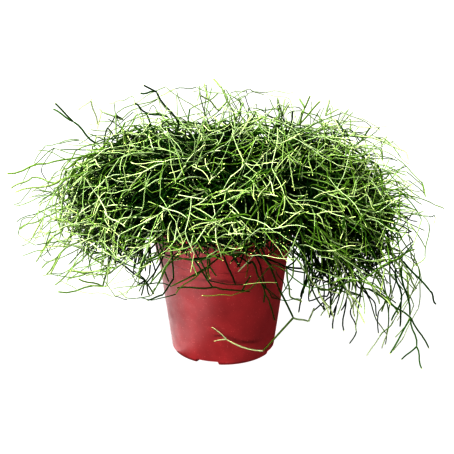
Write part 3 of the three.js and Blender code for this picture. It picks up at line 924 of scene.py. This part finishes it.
def grow_infill(plant, crowns):
    """The finer stems that fill the crown, in whorls at tips and along stems. They may touch each
    other, and keep off the pot."""
    grow_infill_leaders(plant, crowns)
    for i, fill in enumerate(INFILL):
        kind = {**fill, "radius": FORKS[i]["radius"], "steps": 1}
        for parent in [stem for stem in plant.stems if stem.generation == i]:
            more = FACE_TIPS if i > 1 and faces_front(parent.end) else 0
            grow_whorl(plant, parent, 1, INFILL_CHILD, fill["tip"] + more, kind, i + 1)
            for k in range(fill["side"]):
                child = 2 * INFILL_CHILD + SIDE_SEEDS * k
                grow_whorl(plant, parent, SIDE_PLACE + SIDE_STEP * k, child, 1, kind, i + 1)


def grow_plant():
    """The whole plant: the stems of the solids, then the infill and the sprays."""
    plant, crowns = Plant(), place_crowns()
    grow_hanger(plant, crowns[HANGER_CLUMP])
    grow_leaders(plant, crowns)
    grow_forks(plant)
    reach_out(plant)
    grow_infill(plant, crowns)
    grow_sprays(plant)
    return plant, crowns


def stem_surface(stems):
    """Round tubes along all the stems at once. A ring lies at each place t of the stem's curve,
    root (1-t)^2 + control 2t(1-t) + end t^2 + sway sin(2 pi t), square to it, with radius = stem
    radius x the ring's share."""
    root, control, end, sway = (
        np.array([getattr(stem, name) for stem in stems])[:, None]
        for name in ("fine_root", "fine_control", "end", "sway"))
    t = RING_PLACES[None, :, None]
    centre = on_curve(root, control, end, t) + sway * np.sin(2 * math.pi * t)
    along = (control - root) * (1 - t) + (end - control) * t
    along = units(along + sway * math.pi * np.cos(2 * math.pi * t))
    chord = units(end - root)
    side = np.cross(units(control - root), chord) + SIDE_PULL * np.cross(chord, OFF_AXIS)
    side = units(side - along * np.sum(side * along, axis=2, keepdims=True))
    up = np.cross(along, side)
    radius = np.array([stem.fine_radius for stem in stems])[:, None] * RING_SHARES[None]
    angle = round_angles(STEM_SIDES)[:, None]
    spokes = side[:, :, None] * np.cos(angle) + up[:, :, None] * np.sin(angle)
    rings = centre[:, :, None] + spokes * radius[:, :, None, None]
    count, places = len(stems), len(RING_PLACES)
    foot = root[:, 0] - along[:, 0] * FOOT_SINK
    tip = end[:, 0] + along[:, -1] * radius[:, -1:] * TIP_ROUND
    points = np.concatenate([rings.reshape(count, -1, 3), foot[:, None], tip[:, None]], 1)
    first = (np.arange(count) * points.shape[1])[:, None, None]
    here = np.arange(STEM_SIDES)
    after, last = (here + 1) % STEM_SIDES, (places - 1) * STEM_SIDES
    pole = np.full(STEM_SIDES, places * STEM_SIDES)
    caps = np.concatenate([
        np.stack([after, here, pole], 1), np.stack([last + here, last + after, pole + 1], 1)])
    quads = (grid_quads(places, STEM_SIDES)[None] + first).reshape(-1, 4)
    triangles = (caps[None] + first).reshape(-1, 3)
    return points.reshape(-1, 3) * MM, quads, triangles


def stem_map(stems):
    """The map of the stems' points. A point's u is its age, from 0 at the oldest root to 1 at a
    growing tip, and its v is the stem's tone, random play with painted light and shade for its
    place, with a little play round the stem."""
    count = len(stems)
    generation = np.array([stem.generation for stem in stems])[:, None]
    is_tip = np.array([not stem.is_carried_on for stem in stems])
    age = (generation + RING_PLACES[None]) / (LAST_GENERATION + 1) * OLD_AGES
    age[is_tip, -1] = TIP_AGES[0]
    shade = np.array([stem.shade for stem in stems])[:, None, None]
    play = np.abs(np.arange(STEM_SIDES) - STEM_SIDES / 2) / STEM_SIDES
    tone = TONE_LEAST + TONE_SPAN * shade + TONE_PLAY * play
    shape = (count, len(RING_PLACES), STEM_SIDES)
    u, v = (np.broadcast_to(part, shape).reshape(count, -1) for part in (age[:, :, None], tone))
    oldest, youngest = age[:, :1], np.where(is_tip[:, None], TIP_AGES[1], age[:, -1:])
    u = np.concatenate([u, oldest, youngest], 1)
    v = np.concatenate([v, tone[:, 0, :1], tone[:, 0, :1]], 1)
    return np.stack([u, v], -1).reshape(-1, 2)


# ---- Materials ----


def new_material(name):
    """A node material with its shader, ready for links."""
    material = bpy.data.materials.new(name)
    material.use_nodes = True
    tree = material.node_tree
    return material, tree, tree.nodes["Principled BSDF"]


def put(tree, socket, value):
    """Links the socket to an output, or sets it to a number or a colour."""
    if isinstance(value, bpy.types.NodeSocket):
        tree.links.new(value, socket)
    elif isinstance(value, (int, float)):
        socket.default_value = value
    else:
        socket.default_value = (*value, 1)


def add_node(tree, kind, **inputs):
    """A new shader node with its named inputs linked or set."""
    node = tree.nodes.new("ShaderNode" + kind)
    for name, value in inputs.items():
        put(tree, node.inputs[name.replace("_", " ")], value)
    return node


def noise(tree, vector, scale, detail=4.0):
    """Soft noise from 0 to 1."""
    return add_node(tree, "TexNoise", Vector=vector, Scale=scale, Detail=detail).outputs["Fac"]


def ramp(tree, value, stops):
    """Colours along a value. Each stop is a place and a colour, or a place and a grey level."""
    node = add_node(tree, "ValToRGB", Fac=value)
    elements = node.color_ramp.elements
    while len(elements) < len(stops):
        elements.new(0.5)
    for element, (place, colour) in zip(elements, stops):
        element.position = place
        element.color = (*((colour,) * 3 if isinstance(colour, (int, float)) else colour), 1)
    return node.outputs["Color"]


def mix(tree, share, first, second, blend="MIX"):
    """Two colours mixed by a share, or multiplied."""
    node = tree.nodes.new("ShaderNodeMix")
    node.data_type, node.blend_type = "RGBA", blend
    for number, value in ((0, share), (6, first), (7, second)):
        put(tree, node.inputs[number], value)
    return node.outputs[2]


def bump(tree, shader, height, distance, strength):
    """Fine relief on the shader's surface."""
    node = add_node(tree, "Bump", Height=height, Distance=distance, Strength=strength)
    tree.links.new(node.outputs["Normal"], shader.inputs["Normal"])


def stem_material(settings):
    """Waxy stems: tone across from deep to bright, painted shade inside the crown and painted
    light on its lit surface, darker where old, cream at growing tips.
    """
    material, tree, shader = new_material("stem_skin")
    uv = add_node(tree, "UVMap")
    uv.uv_map = "OFBake"
    split = add_node(tree, "SeparateXYZ", Vector=uv.outputs["UV"])
    age, tone = split.outputs["X"], split.outputs["Y"]
    # The ramp paints shade and light by the tone: deep for the shaded stems inside, bright for the
    # lit ones.
    green = ramp(tree, tone, [
        (0.36, settings.deep), (0.5, (0.009, 0.032, 0.002)), (0.62, settings.middle),
        (0.9, settings.bright)])
    maturity = ramp(tree, age, [
        (0.0, (0.28, 0.26, 0.2)), (0.3, (0.62, 0.66, 0.55)), (0.6, 1), (0.9, (1.25, 1.15, 1))])
    aged = mix(tree, 1.0, green, maturity, "MULTIPLY")
    to_tip = ramp(tree, age, [(0.9, 0), (0.985, 1)])
    put(tree, shader.inputs["Base Color"], mix(tree, to_tip, aged, settings.tip))
    shader.inputs["Roughness"].default_value = 0.32
    # Gloss follows the same tone: low on the stems in painted shade, higher on those in painted
    # light.
    put(tree, shader.inputs["Specular IOR Level"], ramp(tree, tone, [(0.35, 0.06), (0.8, 0.35)]))
    shader.inputs["Specular Tint"].default_value = (0.6, 1.0, 0.25, 1)
    bump(tree, shader, noise(tree, uv.outputs["UV"], scale=60.0), distance=0.0002, strength=0.25)
    return material


def pot_material(settings):
    """Moulded plastic: faint mottling, fine grain and slight wear."""
    material, tree, shader = new_material("pot_plastic")
    place = add_node(tree, "TexCoord").outputs["Object"]
    mottle = ramp(tree, noise(tree, place, scale=45.0), [(0.3, 0.86), (0.7, 1.1)])
    base = mix(tree, 1.0, settings.colour, mottle, "MULTIPLY")
    specks = ramp(tree, noise(tree, place, scale=900.0, detail=2.0), [(0.66, 0), (0.74, 0.3)])
    put(tree, shader.inputs["Base Color"], mix(tree, specks, base, (0.62, 0.28, 0.26)))
    rough = ramp(tree, noise(tree, place, scale=120.0), [
        (0.3, settings.roughness - 0.06), (0.7, settings.roughness + 0.08)])
    put(tree, shader.inputs["Roughness"], rough)
    shader.inputs["Specular IOR Level"].default_value = 0.8
    bump(tree, shader, noise(tree, place, scale=1400.0), settings.grain, strength=0.35)
    return material


def soil_material():
    """Dark crumbly compost with paler fibres and specks."""
    material, tree, shader = new_material("soil")
    place = add_node(tree, "TexCoord").outputs["Object"]
    base = ramp(tree, noise(tree, place, scale=260.0, detail=6.0), [
        (0.3, (0.008, 0.005, 0.003)), (0.55, (0.03, 0.018, 0.011)), (0.75, (0.09, 0.06, 0.035))])
    put(tree, shader.inputs["Base Color"], base)
    shader.inputs["Roughness"].default_value = 0.95
    height = noise(tree, place, scale=600.0, detail=6.0)
    bump(tree, shader, height, distance=0.001, strength=0.8)
    return material


# ---- Operators ----


def studio_world(strength):
    """A white backdrop that lights from above only, so that no light comes up from below."""
    world = bpy.data.worlds.new("studio")
    world.use_nodes = True
    tree = world.node_tree
    direction = add_node(tree, "TexCoord").outputs["Generated"]
    height = add_node(tree, "SeparateXYZ", Vector=direction).outputs["Z"]
    above = add_node(tree, "MapRange", Value=height, From_Min=SKY_LOW, From_Max=SKY_HIGH,
                     To_Min=SKY_LEAST, To_Max=strength).outputs["Result"]
    light, backdrop = tree.nodes["Background"], add_node(tree, "Background")
    choose = add_node(tree, "MixShader", Fac=add_node(tree, "LightPath").outputs["Is Camera Ray"])
    put(tree, light.inputs["Strength"], above)
    for number, node in ((1, light), (2, backdrop)):
        put(tree, node.inputs["Color"], (1, 1, 1))
        tree.links.new(node.outputs[0], choose.inputs[number])
    tree.links.new(choose.outputs[0], tree.nodes["World Output"].inputs["Surface"])
    return world


class PLANT_OT_stage(bpy.types.Operator):
    """Makes the floor, the lights and the camera"""

    bl_idname = "plant.stage"
    bl_label = "Stage"

    def execute(self, context):
        scene, settings = context.scene, context.scene.stage_settings
        bpy.ops.mesh.primitive_plane_add(size=FLOOR_SIZE, location=(0, 0, 0))
        floor = context.object
        floor.name = "floor"
        material, tree, shader = new_material("floor")
        shader.inputs["Base Color"].default_value = (0.03, 0.03, 0.03, 1)
        shader.inputs["Roughness"].default_value = 0.9
        shader.inputs["Specular IOR Level"].default_value = 0
        shader.inputs["Emission Color"].default_value = (1, 1, 1, 1)
        shader.inputs["Emission Strength"].default_value = FLOOR_GLOW
        floor.visible_diffuse = floor.visible_glossy = False
        floor.data.materials.append(material)

        camera = bpy.data.objects.new("camera", bpy.data.cameras.new("camera"))
        scene.collection.objects.link(camera)
        camera.data.lens = settings.lens
        camera.data.sensor_width = SENSOR
        camera.location = (CAMERA_ASIDE, -settings.distance, settings.height)
        camera.rotation_euler = (math.pi / 2 - settings.pitch, 0, 0)
        camera.data.clip_end = 50
        scene.camera = camera

        scene.world = studio_world(settings.fill)
        scene.view_settings.view_transform = "Standard"
        scene.view_settings.exposure = VIEW_EXPOSURE
        scene.view_settings.gamma = VIEW_GAMMA

        # Each lamp's name, kind, power, place and size. The card lies flat, and the others aim at
        # the plant. Only the key and the card show in gloss, and the card lights nothing else.
        aim = Vector((0, 0, 0.1))
        lights = (
            ("key", "SUN", settings.key, (-0.8, -0.9, 1.8), (0, 0)),
            ("front", "AREA", settings.front, (0.14, -0.85, 0.06), (0.6, 0.1)),
            ("rim", "AREA", settings.rim, (0.8, 0.75, 0.11), (0.25, 0.2)),
            ("side", "AREA", settings.side, (-0.8, -0.3, 0.03), (0.4, 0.06)),
            ("top", "AREA", settings.top, (-0.3, 0.5, 1.1), (0.8, 0.5)),
            ("card", "AREA", settings.card, (-0.24, -0.06, 0.002), (0.4, 0.6)),
        )
        for name, kind, power, place, size in lights:
            light = bpy.data.lights.new(name, kind)
            light.energy = power
            if kind == "SUN":
                light.angle = SUN_ANGLE
            else:
                light.shape, light.size, light.size_y = "RECTANGLE", *size
            lamp = bpy.data.objects.new(name, light)
            scene.collection.objects.link(lamp)
            lamp.location = place
            lamp.visible_camera = False
            lamp.visible_glossy = name in ("key", "card")
            lamp.visible_diffuse = name != "card"
            target = Vector((*place[:2], 1)) if name == "card" else aim
            lamp.rotation_euler = (target - Vector(place)).to_track_quat("-Z", "Y").to_euler()
        return {"FINISHED"}


class PLANT_OT_pot(bpy.types.Operator):
    """Makes the nursery pot, with its band, lip, feet and drainage holes"""

    bl_idname = "plant.pot"
    bl_label = "Nursery pot"

    def execute(self, context):
        # The profile runs from the middle of the underside, round a foot, up the wall and band,
        # over the lip, and down the inside to the floor.
        floor_top = FLOOR_UNDERSIDE + POT_WALL
        round_centre = wall_radius(BASE_ROUND) - BASE_ROUND
        foot = round_centre - FOOT_WIDTH
        lip, lip_radius = POT_HEIGHT - LIP_HEIGHT, wall_radius(POT_HEIGHT) + LIP_STAND
        rows = [*np.linspace(BASE_ROUND, BAND_BOTTOM, WALL_ROWS),
                *np.linspace(BAND_BOTTOM + BAND_STEP, lip, BAND_ROWS)]
        outer = [(share * foot, FLOOR_UNDERSIDE) for share in (0, 0.3, 0.7)]
        outer += [(foot - EDGE, FLOOR_UNDERSIDE), (foot, FLOOR_UNDERSIDE - EDGE)]
        outer += [(foot, EDGE), (foot + EDGE, 0)]
        outer += [(round_centre + BASE_ROUND * math.sin(turn), BASE_ROUND * (1 - math.cos(turn)))
                  for turn in np.linspace(0, math.pi / 2, ROUND_ROWS)[:-1]]
        outer += [(wall_radius(h), h) for h in rows]
        outer += [(lip_radius - EDGE, lip + 0.05), (lip_radius, lip + LIP_ROUND)]
        outer += [(lip_radius, POT_HEIGHT - 0.5), (lip_radius - LIP_ROUND, POT_HEIGHT)]
        inner = [(wall_radius(POT_HEIGHT) - POT_WALL + EDGE, POT_HEIGHT)]
        inner += [(wall_radius(h) - POT_WALL, h)
                  for h in (POT_HEIGHT - LIP_ROUND, *rows[::-1], floor_top)]
        profile = np.array(outer + inner + [(0, floor_top)])
        radius, height = profile[:, 0:1], np.repeat(profile[:, 1:2], POT_SIDES, 1)
        # Near the middle of each arch between the feet, the lowest rows move up to its height.
        pitch = 2 * math.pi / FOOT_COUNT
        turn = (round_angles(POT_SIDES) - FOOT_TURN) / pitch
        offset = np.abs((turn + 0.5) % 1 - 0.5) * pitch * POT_BASE_RADIUS
        arch = (FOOT_ARCH_WIDTH / 2 - offset) / FOOT_ARCH_SLOPE + 0.5
        arch = FOOT_ARCH_HEIGHT * np.clip(arch, 0, 1)
        is_foot = (radius > foot - EDGE / 2) & (height < arch)
        height = np.where(is_foot, arch + FOOT_ARCH_HOLLOW * height, height)
        pot = revolve("nursery_pot", radius, height)
        depth, circle = (floor_top + 1) * MM, DRAIN_CIRCLE * MM
        for turn in round_angles(DRAIN_COUNT):
            place = (circle * math.cos(turn), circle * math.sin(turn), depth / 2)
            bpy.ops.mesh.primitive_cylinder_add(
                vertices=DRAIN_SIDES, radius=DRAIN_RADIUS * MM, depth=depth, location=place)
            cutter = context.object
            cut = pot.modifiers.new("drain", "BOOLEAN")
            cut.operation, cut.object, cut.solver = "DIFFERENCE", cutter, "EXACT"
            context.view_layer.objects.active = pot
            bpy.ops.object.modifier_apply(modifier=cut.name)
            bpy.data.objects.remove(cutter)
        pot.data.materials.clear()
        pot.data.materials.append(pot_material(context.scene.pot_settings))
        pot.data.set_sharp_from_angle(angle=SHARP)
        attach(pot, "root")
        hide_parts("pot")
        return {"FINISHED"}


class PLANT_OT_soil(bpy.types.Operator):
    """Makes the compost and root ball that fills the pot"""

    bl_idname = "plant.soil"
    bl_label = "Soil"

    def execute(self, context):
        bottom = FLOOR_UNDERSIDE + POT_WALL + GAP
        step_top = BAND_BOTTOM + BAND_STEP + GAP
        heights = (bottom, BAND_BOTTOM, step_top, SOIL_TOP - SOIL_ROUND)
        side = [(wall_radius(h) - POT_WALL - GAP, h) for h in heights]
        top_radius = wall_radius(SOIL_TOP) - POT_WALL - GAP
        shares = np.linspace(SOIL_SHOULDER, 0, SOIL_ROWS)
        profile = np.array([(0, bottom)] + side + [(top_radius * k, SOIL_TOP) for k in shares])
        radius, height = profile[:, 0:1], np.repeat(profile[:, 1:2], SOIL_SIDES, 1)
        # On top, waves of two sizes make lumps and grit, and a random height makes crumbs.
        angle = round_angles(SOIL_SIDES)
        x, y = radius * np.cos(angle), radius * np.sin(angle)
        lumps = SOIL_LUMPS * np.sin(x / 6.1 + 1) * np.cos(y / 5.3)
        grit = SOIL_GRIT * np.sin(x * 1.9 + 2 * np.sin(y * 1.3))
        grit *= np.cos(y * 2.1 + np.sin(x * 1.1))
        crumbs = np.random.default_rng(SEED).uniform(-SOIL_CRUMBS, SOIL_CRUMBS, x.shape)
        is_top = (height > SOIL_TOP - 1) & (radius > 0)
        height = np.where(is_top, height + lumps + grit + crumbs, height)
        soil = revolve("compost", radius, height)
        soil.data.materials.append(soil_material())
        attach(soil, "root")
        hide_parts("soil")
        return {"FINISHED"}


class PLANT_OT_stems(bpy.types.Operator):
    """Grows the stems, one piece for each clump"""

    bl_idname = "plant.stems"
    bl_label = "Stems"

    def execute(self, context):
        plant, crowns = grow_plant()
        skin = stem_material(context.scene.plant_settings)
        for clump in range(len(crowns)):
            stems = [stem for stem in plant.stems if stem.clump == clump]
            if not stems:
                raise RuntimeError(f"clump {clump + 1} has no stems")
            piece = mesh_object(f"stems_{clump + 1:02d}", *stem_surface(stems), stem_map(stems))
            piece.data.materials.append(skin)
            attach(piece, "root")
            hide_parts(f"stem_clump_{clump + 1:02d}")
        return {"FINISHED"}


class PLANT_PT_panel(bpy.types.Panel):
    """Lists the pieces of the potted plant"""

    bl_idname = "PLANT_PT_panel"
    bl_label = "Mistletoe cactus"
    bl_space_type = "VIEW_3D"
    bl_region_type = "UI"
    bl_category = "Plant"

    def draw(self, context):
        for operator in OPERATORS:
            self.layout.operator(operator.bl_idname)
        for group in GROUPS:
            settings = getattr(context.scene, group)
            for name in settings.__annotations__:
                self.layout.prop(settings, name)


OPERATORS = (PLANT_OT_stage, PLANT_OT_pot, PLANT_OT_soil, PLANT_OT_stems)
GROUPS = {
    "pot_settings": PotSettings, "plant_settings": PlantSettings, "stage_settings": StageSettings}


def register():
    for item in (*GROUPS.values(), *OPERATORS, PLANT_PT_panel):
        bpy.utils.register_class(item)
    for name, group in GROUPS.items():
        setattr(bpy.types.Scene, name, bpy.props.PointerProperty(type=group))


def unregister():
    for name in GROUPS:
        delattr(bpy.types.Scene, name)
    for item in reversed((*GROUPS.values(), *OPERATORS, PLANT_PT_panel)):
        bpy.utils.unregister_class(item)


def main():
    register()
    bpy.ops.plant.stage()
    bpy.ops.plant.pot()
    bpy.ops.plant.soil()
    bpy.ops.plant.stems()


if __name__ == "__main__":
    main()
